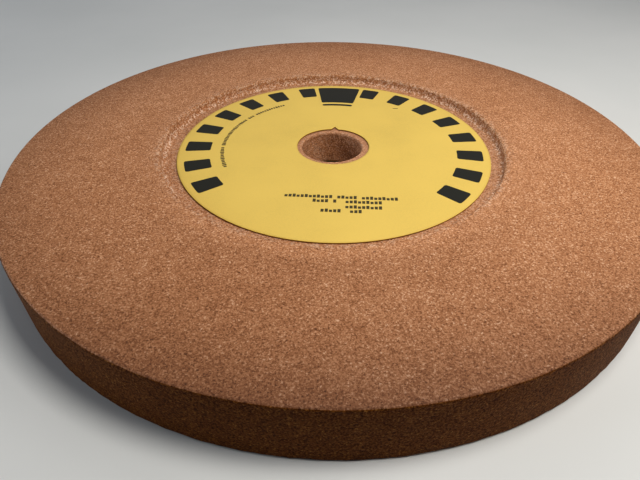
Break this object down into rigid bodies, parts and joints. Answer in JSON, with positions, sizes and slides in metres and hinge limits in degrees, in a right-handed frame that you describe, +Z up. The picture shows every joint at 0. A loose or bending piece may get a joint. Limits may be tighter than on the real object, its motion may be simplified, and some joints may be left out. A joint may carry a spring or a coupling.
{
  "type": "recessed grinding wheel",
  "caption": "Flat round vitrified grinding wheel with a shallow round recess in each face, a plain bore, and a yellow card blotter lying in each recess.",
  "frame": {"origin": "on the wheel's axis, in the plane of its underside", "axes": "+Z up along the wheel's axis, from the rear face to the front face; +Y points from the axis towards the nick in the front card's hole, to within 3 degrees"},
  "size_m": [0.35, 0.35, 0.032],
  "materials": {
    "abrasive": "bare fired abrasive grain, matt and open, terracotta brown",
    "front_card": "matt yellow card with black print",
    "rear_card": "matt yellow card, plain"
  },
  "bodies": {
    "root": {"abrasive_body": "abrasive", "front_blotter": "front_card", "rear_blotter": "rear_card"}
  },
  "joints": []
}
